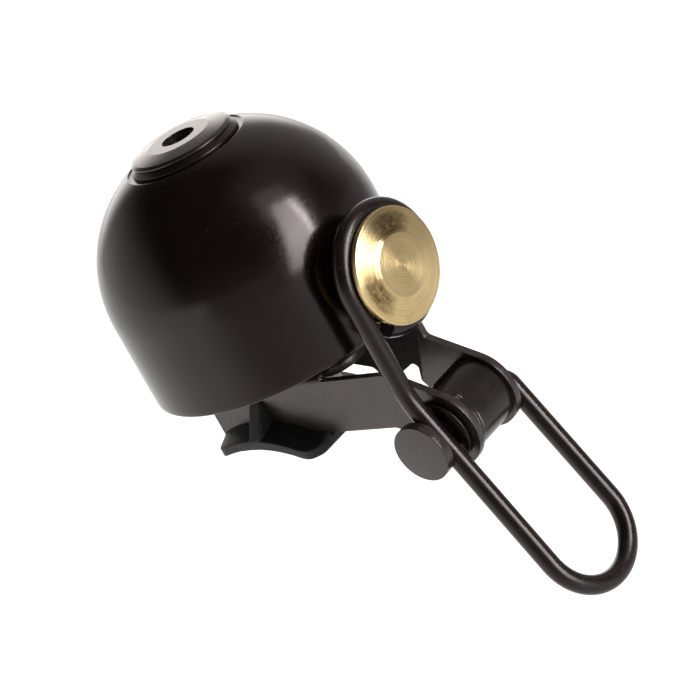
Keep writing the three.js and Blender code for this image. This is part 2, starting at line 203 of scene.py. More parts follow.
# ---------------------------------------------------------------- material helpers
class Nodes:
    """Short hand for a procedural material."""

    def __init__(self, name):
        self.mat = bpy.data.materials.new(name)
        self.mat.use_nodes = True
        self.tree = self.mat.node_tree
        self.tree.nodes.clear()
        self.out = self.add("ShaderNodeOutputMaterial")
        self.bsdf = self.add("ShaderNodeBsdfPrincipled")
        self.link(self.bsdf.outputs[0], self.out.inputs[0])
        self.coords = self.add("ShaderNodeTexCoord").outputs["Object"]

    def add(self, kind, **values):
        node = self.tree.nodes.new(kind)
        for key, value in values.items():
            if hasattr(node, key):
                setattr(node, key, value)
            else:
                node.inputs[key].default_value = value
        return node

    def link(self, a, b):
        self.tree.links.new(a, b)

    def set(self, **values):
        for key, value in values.items():
            self.bsdf.inputs[key.replace("_", " ")].default_value = value

    def noise(self, scale, detail=4.0, rough=0.55, stretch=None):
        node = self.add("ShaderNodeTexNoise")
        node.inputs["Scale"].default_value = scale
        node.inputs["Detail"].default_value = detail
        node.inputs["Roughness"].default_value = rough
        vector = self.coords
        if stretch:
            mapping = self.add("ShaderNodeMapping")
            mapping.inputs["Scale"].default_value = stretch
            self.link(self.coords, mapping.inputs["Vector"])
            vector = mapping.outputs[0]
        self.link(vector, node.inputs["Vector"])
        return node.outputs["Fac"]

    def range(self, value, low, high, out_low, out_high, kind="LINEAR"):
        node = self.add("ShaderNodeMapRange", interpolation_type=kind)
        for key, number in (("From Min", low), ("From Max", high), ("To Min", out_low),
                            ("To Max", out_high)):
            node.inputs[key].default_value = number
        self.link(value, node.inputs["Value"])
        return node.outputs[0]

    def maths(self, operation, a, b=0.0):
        node = self.add("ShaderNodeMath", operation=operation)
        for i, x in enumerate((a, b)):
            if hasattr(x, "is_output"):
                self.link(x, node.inputs[i])
            else:
                node.inputs[i].default_value = x
        return node.outputs[0]

    def mix(self, fac, a, b):
        node = self.add("ShaderNodeMix", data_type="RGBA")
        if hasattr(fac, "is_output"):
            self.link(fac, node.inputs["Factor"])
        else:
            node.inputs["Factor"].default_value = fac
        for key, x in (("A", a), ("B", b)):
            socket = [s for s in node.inputs if s.name == key and s.type == "RGBA"][0]
            if hasattr(x, "is_output"):
                self.link(x, socket)
            else:
                socket.default_value = (*x, 1.0)
        return [s for s in node.outputs if s.type == "RGBA"][0]

    def bump(self, height, distance, strength=1.0, normal=None):
        node = self.add("ShaderNodeBump")
        node.inputs["Strength"].default_value = strength
        node.inputs["Distance"].default_value = distance
        self.link(height, node.inputs["Height"])
        if normal:
            self.link(normal, node.inputs["Normal"])
        return node.outputs[0]

    def use(self, socket, output):
        self.link(output, self.bsdf.inputs[socket])


def coated_black(name, base, worn, rough, grain, bump, metal=0.0, spots=0.0, ior=1.5):
    """Black finish over metal: slight colour drift, grain in the gloss and pale wear specks."""
    m = Nodes(name)
    m.set(Metallic=metal, IOR=ior, Specular_Tint=(1.0, 0.9, 0.87, 1.0))
    drift = m.noise(240, 3)
    fine = m.noise(grain, 5, 0.6)
    colour = m.mix(m.range(drift, 0.35, 0.7, 0, 1), base, worn)
    if spots:
        speck = m.noise(1900, 2, 0.5)
        colour = m.mix(m.range(speck, 0.74, 0.78, 0, spots), colour, (0.3, 0.28, 0.25))
    m.use("Base Color", colour)
    m.use("Roughness", m.range(fine, 0.3, 0.7, rough - 0.05, rough + 0.06))
    m.use("Normal", m.bump(fine, bump))
    return m


def turned_scratches(m, low, high):
    """Bright broken scratches round the y axis between two distances along it."""
    split = m.add("ShaderNodeSeparateXYZ")
    m.link(m.coords, split.inputs[0])
    lines = m.add("ShaderNodeTexNoise", noise_dimensions="1D")
    lines.inputs["Scale"].default_value = 7000
    lines.inputs["Detail"].default_value = 2
    m.link(split.outputs["Y"], lines.inputs["W"])
    mask = m.maths("MULTIPLY", m.range(lines.outputs["Fac"], 0.56, 0.62, 0, 0.8),
                   m.range(m.noise(350, 2), 0.5, 0.6, 0, 1))
    inside = m.maths("MULTIPLY", m.range(split.outputs["Y"], low, low + 0.0002, 0, 1),
                     m.range(split.outputs["Y"], high - 0.0002, high, 1, 0))
    mask = m.maths("MULTIPLY", mask, inside)
    colour = m.bsdf.inputs["Base Color"].links[0].from_socket
    m.use("Base Color", m.mix(mask, colour, (0.3, 0.28, 0.27)))


# Painted dark reflection wedges on the hammer's face: degrees round it from +y toward +z, and the cosine
# of each wedge's spread.
PAINTED_DARK_WEDGES = ((72, 0.76), (188, 0.76))


def turned_brass(name):
    """Brass faced on a lathe: fine rings round the hammer's axis, bright and slightly uneven, with
    painted dark reflection wedges in its outer band.
    """
    m = Nodes(name)
    centre = place((0, 0, HAMMER_Z))
    split = m.add("ShaderNodeSeparateXYZ")
    m.link(m.coords, split.inputs[0])
    z = m.maths("SUBTRACT", split.outputs["Z"], centre.z)
    y = split.outputs["Y"]
    radius = m.maths("SQRT", m.maths("ADD", m.maths("MULTIPLY", y, y), m.maths("MULTIPLY", z, z)))
    tangent = m.add("ShaderNodeCombineXYZ")
    m.link(y, tangent.inputs["Y"])
    m.link(z, tangent.inputs["Z"])
    flat = m.add("ShaderNodeVectorMath", operation="NORMALIZE")
    m.link(tangent.outputs[0], flat.inputs[0])
    rings = m.add("ShaderNodeTexNoise", noise_dimensions="1D")
    rings.inputs["Scale"].default_value = 8000
    rings.inputs["Detail"].default_value = 3
    m.link(radius, rings.inputs["W"])
    wide = m.add("ShaderNodeTexNoise", noise_dimensions="1D")
    wide.inputs["Scale"].default_value = 1500
    wide.inputs["Detail"].default_value = 2
    m.link(radius, wide.inputs["W"])
    blotch = m.noise(420, 4)
    marks = m.maths("ADD", rings.outputs["Fac"], m.maths("MULTIPLY", wide.outputs["Fac"], 0.4))
    colour = m.mix(m.range(marks, 0.5, 0.9, 0, 1), (0.66, 0.47, 0.21), (0.88, 0.70, 0.38))
    colour = m.mix(m.range(blotch, 0.62, 0.72, 0, 0.25), colour, (0.5, 0.33, 0.13))
    band = m.maths("MULTIPLY", m.range(radius, 0.0039, 0.0044, 0, 1),
                   m.range(radius, 0.0062, 0.0069, 1, 0))
    wedge_streaks = m.range(m.maths("ADD", rings.outputs["Fac"], m.noise(1500, 3)), 0.8, 1.15, 0.45, 1)
    # Painted reflection: dark wedges in the outer band of the face, broken up by streaks.
    for angle, spread in PAINTED_DARK_WEDGES:
        toward = m.add("ShaderNodeVectorMath", operation="DOT_PRODUCT")
        toward.inputs[1].default_value = (0, math.cos(math.radians(angle)), math.sin(math.radians(angle)))
        m.link(flat.outputs[0], toward.inputs[0])
        dark_wedge = m.range(toward.outputs["Value"], spread, 1.0, 0, 1, "SMOOTHSTEP")
        dark_wedge = m.maths("MULTIPLY", m.maths("MULTIPLY", dark_wedge, band), wedge_streaks)
        colour = m.mix(dark_wedge, colour, (0.16, 0.1, 0.04))
    m.use("Base Color", colour)
    m.set(Metallic=1.0, Anisotropic=0.85)
    m.use("Roughness", m.range(marks, 0.45, 0.95, 0.21, 0.29))
    m.use("Normal", m.bump(marks, 0.000006, 0.6))
    m.use("Tangent", flat.outputs[0])
    return m.mat


def plain_steel(name, base, rough):
    m = Nodes(name)
    m.set(Metallic=1.0)
    fine = m.noise(1400, 4)
    dark = tuple(c * 0.75 for c in base)
    m.use("Base Color", m.mix(m.range(m.noise(300), 0.4, 0.65, 0, 1), base, dark))
    m.use("Roughness", m.range(fine, 0.3, 0.7, rough - 0.06, rough + 0.08))
    m.use("Normal", m.bump(fine, 0.000008))
    return m.mat


def rubber(name, base):
    m = Nodes(name)
    fine = m.noise(2600, 5, 0.7)
    dust = m.noise(500, 4)
    pale = tuple(c * 1.9 for c in base)
    m.use("Base Color", m.mix(m.range(dust, 0.5, 0.75, 0, 0.5), base, pale))
    m.use("Roughness", m.range(fine, 0.3, 0.7, 0.5, 0.68))
    m.set(IOR=1.5)
    m.use("Normal", m.bump(fine, 0.00003, 0.7))
    return m.mat


def nylon(name, base):
    m = Nodes(name)
    fine = m.noise(1800, 4)
    m.use("Base Color", m.mix(fine, base, tuple(c * 1.4 for c in base)))
    m.use("Roughness", m.range(fine, 0.3, 0.7, 0.42, 0.55))
    m.use("Normal", m.bump(fine, 0.00001))
    return m.mat


DOME_MAT = coated_black("dome_black", (0.0045, 0.0022, 0.0022), (0.007, 0.0035, 0.0034), rough=0.17,
                        grain=2600, bump=0.000005, spots=0.1, ior=1.46).mat
BLACK_MAT = coated_black("black_wire", (0.006, 0.0035, 0.0035), (0.012, 0.008, 0.0075), rough=0.24,
                         grain=2200, bump=0.000005, spots=0.25, ior=1.47).mat
BARREL = coated_black("barrel_black", (0.007, 0.005, 0.005), (0.012, 0.009, 0.009), rough=0.22,
                      grain=2400, bump=0.000006, spots=0.3, ior=1.45)
BARREL_MAT = BARREL.mat
CAP_MAT = coated_black("cap_black", (0.012, 0.009, 0.009), (0.02, 0.016, 0.015), rough=0.17,
                       grain=2400, bump=0.000004, spots=0.2, ior=1.6).mat
PIN_MAT = coated_black("black_pin", (0.016, 0.012, 0.012), (0.024, 0.019, 0.018), rough=0.24,
                       grain=2400, bump=0.000006, metal=0.1, spots=0.2, ior=1.65).mat
PLATE = coated_black("bracket_black", (0.016, 0.012, 0.011), (0.03, 0.023, 0.021), rough=0.3,
                     grain=1800, bump=0.000007, metal=0.1, spots=0.1, ior=1.65)
PLATE_MAT = PLATE.mat


def painted_shade_arm(m):
    """Paints shade on the far arm's inner face: near black and rougher on the dome's side of a slanting
    line.
    """
    slope = 0.485
    split = m.add("ShaderNodeSeparateXYZ")
    m.link(m.coords, split.inputs[0])
    edge = place((19.8, 3.75, 0))
    slant = m.maths("SUBTRACT", split.outputs["X"], m.maths("MULTIPLY", split.outputs["Z"], slope))
    start = edge.x - slope * edge.z
    inside = m.maths("MULTIPLY", m.range(split.outputs["Y"], 0.003, 0.0031, 0, 1),
                     m.range(split.outputs["Y"], 0.0038, 0.0039, 1, 0))
    arm_shade = m.maths("MULTIPLY", inside, m.range(slant, start - 0.0002, start + 0.0001, 1, 0))
    colour = m.bsdf.inputs["Base Color"].links[0].from_socket
    rough = m.bsdf.inputs["Roughness"].links[0].from_socket
    # Painted shade: the base colour goes near black on that part of the face.
    m.use("Base Color", m.mix(arm_shade, colour, (0.004, 0.003, 0.003)))
    m.use("Roughness", m.maths("ADD", rough, m.maths("MULTIPLY", arm_shade, 0.55)))


painted_shade_arm(PLATE)
turned_scratches(BARREL, low=-0.0034, high=-0.0019)
BRASS_MAT = turned_brass("turned_brass")
STEEL_MAT = plain_steel("bright_steel", (0.5, 0.49, 0.47), 0.3)
RUBBER_MAT = rubber("saddle_rubber", (0.011, 0.011, 0.012))
NYLON_MAT = nylon("black_nylon", (0.02, 0.02, 0.02))

# ---------------------------------------------------------------- dome
DOME_R, DOME_WALL, SKIRT = 18.5, 1.5, 11.4  # radius, wall and height of the straight skirt
CROWN, POWER = 17.6, 2.06  # height of the rounded crown above the skirt, and its superellipse's power
SEAT_R, SEAT_Z, SCREW_HOLE = 8.1, 27.2, 3.3  # flat seat on top and the hole in it
CEILING_R = 5.5  # flat inside, under the seat


def dome_z(r, rx, rz):
    """Height of the crown at radius r, for a crown rx wide and rz high."""
    return SKIRT + rz * max(0.0, 1 - (r / rx) ** POWER) ** (1 / POWER)


def dome_profile():
    outer = [(DOME_R - 0.5, 0, 0.15), (DOME_R - 0.05, 0.02, 0.35), (DOME_R, 0.8), (DOME_R, 6.0),
             (DOME_R, SKIRT)]
    steps = 40
    for i in range(1, steps + 1):
        r = SEAT_R + (DOME_R - SEAT_R) * math.cos(i / steps * math.pi / 2)
        outer.append((r, dome_z(r, DOME_R, CROWN)))
    seat = [(SEAT_R - 0.12, outer[-1][1] + 0.02, 0.1), (SEAT_R - 0.3, SEAT_Z, 0.1),
            (SCREW_HOLE, SEAT_Z, 0.1)]
    r_in = DOME_R - DOME_WALL
    top = dome_z(CEILING_R, r_in, CROWN - DOME_WALL)
    inner = [(SCREW_HOLE, top, 0.1), (CEILING_R, top)]
    for i in range(steps - 1, -1, -1):
        r = CEILING_R + (r_in - CEILING_R) * math.cos(i / steps * math.pi / 2)
        inner.append((r, dome_z(r, r_in, CROWN - DOME_WALL)))
    inner += [(r_in, 6.0), (r_in, 0.3, 0.2), (r_in + 0.25, 0, 0.1)]
    return soften(outer + seat + inner, 0.1, 4, closed=True), top


profile, ceiling = dome_profile()
piece("bell_shell", revolved(profile, "z", segments=256, closed=True), MOUNTING,
      DOME_MAT, ["bell_dome"])

# ---------------------------------------------------------------- screw, washers, post
SOCKET_R, SOCKET_FLATS, SOCKET_TOP = 2.18, 1.6, 28.6
BORE = 2.3  # round the screw


def socket_shape(r, h, a):
    return min(hex_scale(a, SOCKET_FLATS), r) if h < SOCKET_TOP and r < SOCKET_R - 0.08 else r


screw = soften([(0, 9), (2.0, 9), (2.0, 28.25), (6.75, 28.25, 0.05), (6.85, 28.35, 0.05),
                (6.85, 28.52, 0.08), (6.4, 28.76), (5.3, 28.99), (4.15, 29.19, 0.04),
                (SOCKET_R, 29.2, 0.1), (SOCKET_R, 28.7, 0.05), (1.86, 28.62, 0.02), (1.86, 27.2, 0.05),
                (0, 27.0)], 0.08)
piece("cap_screw", revolved(screw, "z", segments=192, radius=socket_shape), MOUNTING,
      CAP_MAT, ["dome_screw"], sharp=8)
washer = soften([(BORE, 27.22), (7.3, 27.22), (7.3, 27.6), (6.7, 28.16), (BORE, 28.16)], 0.1, closed=True)
piece("cap_washer", revolved(washer, "z", closed=True), MOUNTING, BLACK_MAT,
      ["screw_washer"])
grommet = soften([(BORE, ceiling - 0.9), (5.0, ceiling - 0.9), (5.0, ceiling - 0.3), (3.0, ceiling - 0.3),
                  (3.0, SEAT_Z), (BORE, SEAT_Z)], 0.1, 3, closed=True)
piece("dome_bush", revolved(grommet, "z", closed=True, segments=96), MOUNTING, NYLON_MAT,
      ["dome_grommet"])
isolator = ring_profile(BORE, 5.2, 24.3, ceiling - 1.2, 0.2)
piece("isolator", revolved(isolator, "z", closed=True, segments=96), MOUNTING, RUBBER_MAT,
      ["isolator_washer"])


POST_R, STUD_R, POST_HEX = 4.2, 2.4, 3.75
HEX_FROM, HEX_TO = 16, 23.3  # the spanner flats on the post


def post_shape(r, h, a):
    return min(r, hex_scale(a, POST_HEX)) if HEX_FROM < h < HEX_TO and r > 3.8 else r


post = soften([(0, -9.3), (STUD_R - 0.3, -9.3), (STUD_R, -9.0), (STUD_R, -3.6), (POST_R, -3.6),
               *((POST_R, h) for h in (15.6, 15.9, 16.1, 23.2, 23.4, 23.6)), (3.8, 24.0), (BORE, 24.0),
               (BORE, 8), (0, 8)], 0.1)
piece("post", revolved(post, "z", segments=144, radius=post_shape), MOUNTING, STEEL_MAT,
      ["centre_post"])
piece("collar", revolved(ring_profile(4.5, 5.6, -3.6, -2.2, 0.15), "z", closed=True), MOUNTING,
      STEEL_MAT, ["post_collar"])
lock_washer = ring_profile(2.7, 3.45, -5.8, -5.2, 0.1)
piece("lock_washer", revolved(lock_washer, "z", closed=True, segments=96), MOUNTING,
      STEEL_MAT, ["post_lock_washer"])

NUT_TOP, NUT_BOTTOM, NUT_HEX, NUT_BORE = -6.1, -8.6, 3.3, 2.55


def nut_shape(r, h, a):
    """Hexagon whose corners are turned off toward both ends."""
    edge = min(abs(h - NUT_TOP), abs(h - NUT_BOTTOM))
    return min(hex_scale(a, NUT_HEX), 3.42 + edge * 1.6) if r > 3 else r


nut = [(NUT_BORE, NUT_BOTTOM), *((3.9, h) for h in (NUT_BOTTOM, -8.45, -8.3, -7.4, -6.4, -6.25, NUT_TOP)),
       (NUT_BORE, NUT_TOP)]
piece("nut", revolved(nut, "z", closed=True, radius=nut_shape, segments=144), MOUNTING,
      STEEL_MAT, ["post_nut"], sharp=20)

# ---------------------------------------------------------------- bracket, folded from one flat sheet
SHEET, CHEEK_Y, WEB_TOP, BACK = 1.0, 4.75, -3.9, -15.1  # outer faces of the sheet, and its rear end
BEND_OUT = 1.6  # outer radius of the bends
FLAT_HALF, BEND_R = CHEEK_Y - BEND_OUT, BEND_OUT - SHEET / 2
BEND_LEN = math.pi / 2 * BEND_R
BEND_Z = WEB_TOP - BEND_OUT
EAR_R, EAR_HOLE, STUD_HOLE, LOWER = 5.3, 3.5, 2.8, -12.5
CROWN_X, BAR_R, BAR_Z = -8.0, 20.0, -32.0  # the saddle's arch
RIM, LIP = 1.3, 2.3  # height of the saddle's edge and of its lip beside the cheeks, above the arch
ARM_CUTS = (6.4, 6.55, 6.7, 6.85, 7.0, 7.1, 7.2)  # across the start of the arms, where the bends end
ARM_BLEND, ARMS_FROM, TONGUE_HALF = 0.8, 10.6, 4.0


def along(z):
    """Distance across the sheet from its middle line to height z on a flat cheek."""
    return FLAT_HALF + BEND_LEN + BEND_Z - z


def arc(cx, cy, r, start, end, count):
    angles = (math.radians(start + (end - start) * i / count) for i in range(count + 1))
    return [(cx + r * math.cos(a), cy + r * math.sin(a)) for a in angles]


def cheek(shoulder):
    """Cheek outline in (x, z), from the web's front, round the ear and back along the lower edge."""
    pts = [(6.7, -4.95, 0.3)]
    if shoulder:
        pts += [(11.7, -4.95, 0.8), (12.6, -2.8, 0.8), (18.1, -2.8, 0.6), (18.2, -5.2, 0.9)]
    else:
        pts.append((17.8, -4.95, 3.0))
    pts += [(x, z) for x, z in arc(PIVOT.x, PIVOT.z, EAR_R, 64, -143, 40)]
    pts += [(15.9, LOWER, 1.6)]
    end = -0.4 if shoulder else 8.0
    if shoulder:
        pts += [(14.9, LOWER, 0.3), (14.1, -11.2, 0.8), (14.8, -9.2, 0.6), (14.1, -8.6, 0.6),
                (11.3, -9.9, 0.8), (7.9, -9.8, 0.9), (7.2, -8.6, 0.9), (3.4, -7.6, 1.0), (0.3, -7.6, 1.0),
                (-0.4, -8.6, 0.9)]
    reach = BAR_R + RIM + 0.3
    for i in range(31):
        x = end + (BACK - end) * i / 30
        z = BAR_Z + math.sqrt(reach ** 2 - (x - CROWN_X) ** 2)
        if z > LOWER:
            pts.append((x, z, 0.6))
    return pts


def sheet_outline():
    nose = [(5.85 + 4.25 * math.cos(t), 4.25 * math.sin(t)) for t in
            (math.radians(-60 + 120 * i / 24) for i in range(25))]
    nose = [(6.9, -3.8, 0.2), *nose, (6.9, 3.8, 0.2)]
    far = [(p[0], along(p[1]), *p[2:]) for p in cheek(True)]
    near = [(p[0], -along(p[1]), *p[2:]) for p in cheek(False)]
    return soften([*nose, *far, *near[::-1]], 0.6, 5, closed=True)


def fold(x, s, out):
    """Sheet point (x, s) on the bent bracket, pushed out of the mid surface by out."""
    side = 1 if s >= 0 else -1
    d = abs(s)
    flat = (side * (CHEEK_Y - SHEET / 2 + out), BEND_Z + FLAT_HALF + BEND_LEN - d)
    if d < FLAT_HALF:
        bent = (s, WEB_TOP - SHEET / 2 + out)
    elif d < FLAT_HALF + BEND_LEN:
        a = (d - FLAT_HALF) / BEND_R
        bent = (side * (FLAT_HALF + (BEND_R + out) * math.sin(a)), BEND_Z + (BEND_R + out) * math.cos(a))
    else:
        bent = flat
    t = 1 if x > ARMS_FROM else smooth((x - ARM_CUTS[0]) / ARM_BLEND) if d > TONGUE_HALF else 0
    return Vector((x, bent[0] * (1 - t) + flat[0] * t, bent[1] * (1 - t) + flat[1] * t))


def bracket_mesh():
    bm = bmesh.new()
    loops = [[(p.x, p.y) for p in sheet_outline()],
             arc(PIVOT.x, along(PIVOT.z), EAR_HOLE, 0, 354, 59),
             arc(PIVOT.x, -along(PIVOT.z), EAR_HOLE, 0, 354, 59),
             arc(0, 0, STUD_HOLE, 0, 352.5, 47)]
    for pts in loops:
        verts = [bm.verts.new((x, s, 0)) for x, s in pts]
        for i, v in enumerate(verts):
            bm.edges.new((v, verts[(i + 1) % len(verts)]))
    bmesh.ops.triangle_fill(bm, edges=bm.edges[:], use_beauty=True)
    cuts = [side * (FLAT_HALF + BEND_LEN * i / 8) for side in (-1, 1) for i in range(9)]
    for s in cuts:
        bmesh.ops.bisect_plane(bm, geom=bm.verts[:] + bm.edges[:] + bm.faces[:], plane_co=(0, s, 0),
                               plane_no=(0, 1, 0))
    for x in ARM_CUTS:
        bmesh.ops.bisect_plane(bm, geom=bm.verts[:] + bm.edges[:] + bm.faces[:], plane_co=(x, 0, 0),
                               plane_no=(1, 0, 0))
    for v in bm.verts:
        v.co = fold(v.co.x, v.co.y, 0)
    bmesh.ops.dissolve_limit(bm, angle_limit=math.radians(0.2), verts=bm.verts[:], edges=bm.edges[:])
    return bm


bracket = piece("bracket_sheet", bracket_mesh(), MOUNTING, PLATE_MAT, ["bracket"],
                weighted=False)
thick = bracket.modifiers.new("thick", "SOLIDIFY")
thick.thickness = SHEET * MM
thick.offset = 0
thick.use_even_offset = True
edge = bracket.modifiers.new("edge", "BEVEL")
edge.width = 0.13 * MM
edge.segments = 3
edge.limit_method = "ANGLE"
edge.angle_limit = math.radians(50)
edge.harden_normals = False
bracket.modifiers.new("weighted", "WEIGHTED_NORMAL").keep_sharp = True

# ---------------------------------------------------------------- rubber saddle
PAD_BACK, PAD_FRONT, PAD_SIDE, PAD_CORNER = -14.9, 3.6, 8.1, 2.6
TOE_X = 0.6  # in front of this the underside leaves the arch and runs flat


def extruded(bm, outline, axis, low, high):
    """Closed prism of an outline; axis "y" takes (x, z) points and "x" takes (y, z) points."""
    put = (lambda p, h: (p[0], h, p[1])) if axis == "y" else (lambda p, h: (h, p[0], p[1]))
    a = [bm.verts.new(put(p, low)) for p in outline]
    b = [bm.verts.new(put(p, high)) for p in outline]
    bm.faces.new(a)
    bm.faces.new(b[::-1])
    for i in range(len(a)):
        k = (i + 1) % len(a)
        bm.faces.new([a[i], b[i], b[k], a[k]])


def pad_under(x):
    """Height of the saddle's underside: an arch that ends in a flat toe."""
    d = min(x, TOE_X) - CROWN_X
    arch = BAR_Z + math.sqrt(BAR_R ** 2 - d * d)
    return arch - 0.25 * smooth((x - TOE_X) / 1.4) if x > TOE_X else arch


def saddle_mesh():
    bm = bmesh.new()
    count, wall = 100, CHEEK_Y - 0.15
    grid = []
    for i in range(count + 1):
        x = PAD_BACK + (PAD_FRONT - PAD_BACK) * i / count
        inset = max(0.0, PAD_BACK + PAD_CORNER - x, x - PAD_FRONT + PAD_CORNER)
        half = PAD_SIDE - PAD_CORNER + math.sqrt(max(0.0, PAD_CORNER ** 2 - inset ** 2))
        tip = 0.3 * max(0.0, 1 - min(x - PAD_BACK, PAD_FRONT - x) / 0.3)
        base = pad_under(x)
        low, rim, lip = base + tip, base + RIM - tip, base + LIP - tip
        grid.append([bm.verts.new((x, y, z)) for y, z in
                     ((-half, low), (half, low), (half, rim), (wall, lip), (wall, rim), (-wall, rim),
                      (-wall, lip), (-half, rim))])
    for p, q in zip(grid, grid[1:]):
        for i in range(8):
            k = (i + 1) % 8
            bm.faces.new([p[i], p[k], q[k], q[i]])
    bm.faces.new(grid[0])
    bm.faces.new(grid[-1][::-1])
    extruded(bm, [(-12.4, -11.5), (-3.2, -11.5), (-3.2, -9.5), (-12.4, -9.5)], "y", -3.4, 3.4)
    for side in (-1, 1):  # a web from the lip up each cheek
        extruded(bm, [(side * (PAD_SIDE - 0.1), -11.4), (side * wall, -11.4), (side * wall, -6.8),
                      (side * (wall + 0.5), -6.8), (side * (PAD_SIDE - 0.1), -10.6)], "x", -7.3, -5.3)
    return bm


saddle = piece("rubber_saddle", saddle_mesh(), MOUNTING, RUBBER_MAT, ["saddle_pad"],
               weighted=False)
voxel = saddle.modifiers.new("join", "REMESH")
voxel.mode = "VOXEL"
voxel.voxel_size = 0.13 * MM
voxel.use_smooth_shade = True
soft = saddle.modifiers.new("soft", "SMOOTH")
soft.factor = 0.5
soft.iterations = 3

# ---------------------------------------------------------------- pivot
LEAN = math.radians(19.5)  # of the wire's legs from upright
LOOP = Vector((31.04, 0, -32.45))  # where the legs run into the thumb loop
WIRE_R, LEG_Y, WAIST_Y = 1.25, 7.1, 6.95  # wire, and half the distance between the legs below and above
PIN_BORE = 2.3


def leg(y, z):
    """Point on the plane of the wire's legs."""
    return Vector((LOOP.x - (z - LOOP.z) * math.tan(LEAN), y, z))


barrel = soften([(3.75, -3.6), (4.7, -3.6), (4.7, 3.68), (3.75, 3.68)], 0.12, 3, closed=True)
piece("barrel", revolved(barrel, "y", PIVOT, closed=True), MOUNTING, BARREL_MAT,
      ["pivot_barrel"])
for name, h0, h1, node in (("bush_near", -4.75, -3.75, "near_bushing"),
                           ("bush_far", 3.75, 4.75, "far_bushing")):
    bush = ring_profile(PIN_BORE, 3.2, h0, h1, 0.08)
    piece(name, revolved(bush, "y", PIVOT, closed=True, segments=96), MOUNTING, NYLON_MAT,
          [node])
SPRING_R, SPRING_LEN, TURN = 3.0, 4.8, 48  # four turns of this many steps
STEPS = 4 * TURN
coil = [PIVOT + Vector((SPRING_R * math.cos(a), SPRING_LEN * (i / STEPS - 0.5), SPRING_R * math.sin(a)))
        for i, a in ((i, i / TURN * 2 * math.pi) for i in range(STEPS + 1))]
piece("spring", swept(coil, 0.35, 12, 0.05), MOUNTING, STEEL_MAT, ["torsion_spring"])
thrust = ring_profile(PIN_BORE, 4.2, -5.4, -5.0, 0.1)
piece("thrust_washer", revolved(thrust, "y", PIVOT, closed=True), STRIKER, BLACK_MAT,
      ["near_thrust_washer"])

HEAD_R, NECK_R, PIN_R, CLIP_R = 3.87, 2.7, 2.0, 3.4
NECK_FROM, NECK_TO = -8.3, -5.7
GROOVE_N = Vector((math.cos(LEAN), 0, math.sin(LEAN)))
GROOVE_D = (leg(0, PIVOT.z).x - PIVOT.x) * math.cos(LEAN) - WIRE_R - 0.12


def grooved(v):
    """Cuts the flat behind the wire into the pin's neck."""
    depth = v.dot(GROOVE_N) - GROOVE_D
    return v - GROOVE_N * depth if NECK_FROM < v.y < NECK_TO and depth > 0 else v


pin = soften([(0, -9.8), (HEAD_R, -9.8, 0.12), (HEAD_R, -8.42, 0.12), (NECK_R, -8.36, 0.02),
              (NECK_R, -8.26, 0.02), (NECK_R, -5.76, 0.02), (NECK_R, -5.65, 0.02), (PIN_R, -5.65),
              (PIN_R, 5.05), (CLIP_R, 5.05), (CLIP_R, 5.5), (0, 5.5)], 0.1)
piece("pin", revolved(pin, "y", PIVOT, move=grooved), STRIKER, PIN_MAT, ["pivot_pin"])


# ---------------------------------------------------------------- striker wire
def corner_arc(a, b, c, radius, count):
    """Points of the bend that rounds corner b of the path from a to c."""
    u, v = (a - b).normalized(), (c - b).normalized()
    half = u.angle(v) / 2
    centre = b + (u + v).normalized() * (radius / math.sin(half))
    start = b + u * (radius / math.tan(half)) - centre
    end = b + v * (radius / math.tan(half)) - centre
    axis, turn = start.cross(end).normalized(), start.angle(end)
    return [centre + Quaternion(axis, turn * i / count) @ start for i in range(count + 1)]


def straight(a, b, step=1.0):
    count = max(1, round((b - a).length / step))
    return [a.lerp(b, i / count) for i in range(1, count)]


def wire_route():
    ring_x, ring_r = 22.2, 7.3
    down = Vector((math.sin(LEAN), 0, -math.cos(LEAN)))
    ring = [Vector((ring_x, ring_r * math.cos(t), HAMMER_Z + ring_r * math.sin(t)))
            for t in (math.radians(-128 + 308 * i / 110) for i in range(111))]
    near_end, far_end = Vector((LOOP.x, -LEG_Y, LOOP.z)), Vector((LOOP.x, LEG_Y, LOOP.z))
    kink = corner_arc(ring[-1], leg(-WAIST_Y, -7.5), near_end, 14, 10)  # gentle, below the ring
    bow = [LOOP + down * (LEG_Y * math.cos(t)) + Vector((0, LEG_Y * math.sin(t), 0))
           for t in (-math.pi / 2 + math.pi * i / 60 for i in range(61))]
    corner = leg(WAIST_Y, -13.6)
    elbow = corner_arc(far_end, corner, corner - Vector((0, 9, 0)), 1.4, 10)
    tip = corner + Vector((0, 5.2 - WAIST_Y, 0))
    return [*ring, *straight(ring[-1], kink[0]), *kink, *straight(kink[-1], near_end), *bow,
            *straight(far_end, elbow[0]), *elbow, tip]


piece("wire", swept(wire_route(), WIRE_R, 40, 0.15), STRIKER, BLACK_MAT, ["striker_wire"])

# ---------------------------------------------------------------- hammer
disc_r, rim_x = 3.94, HAMMER_FACE - 0.76  # raised disc on the face, and where the rim's rounding starts
front = soften([(0, 20.85), (5.75, 20.85), (5.75, 23.66), (HAMMER_R, 23.66, 0.1), (HAMMER_R, rim_x, 0.08),
                (disc_r + 0.5, HAMMER_FACE - 0.33, 0.3), (disc_r, HAMMER_FACE - 0.02, 0.3),
                (0, HAMMER_FACE)], 0.08)
piece("hammer_cap", revolved(front, "x", (0, 0, HAMMER_Z), segments=256), STRIKER, BRASS_MAT,
      ["hammer_front"], sharp=25)
back = soften([(0, 19.95), (5.9, 19.95), (6.6, 20.2), (6.6, 20.55), (0, 20.55)], 0.1)
piece("hammer_rear", revolved(back, "x", (0, 0, HAMMER_Z)), STRIKER, BRASS_MAT, ["hammer_back"])
nose = [(0, 19.15), (0.8, 19.165), (1.6, 19.21), (2.2, 19.29), (2.6, 19.37), (2.85, 19.5), (2.9, 19.65),
        (0, 19.65)]
piece("nose", revolved(nose, "x", (0, 0, HAMMER_Z), segments=96), STRIKER, BRASS_MAT,
      ["strike_nose"])

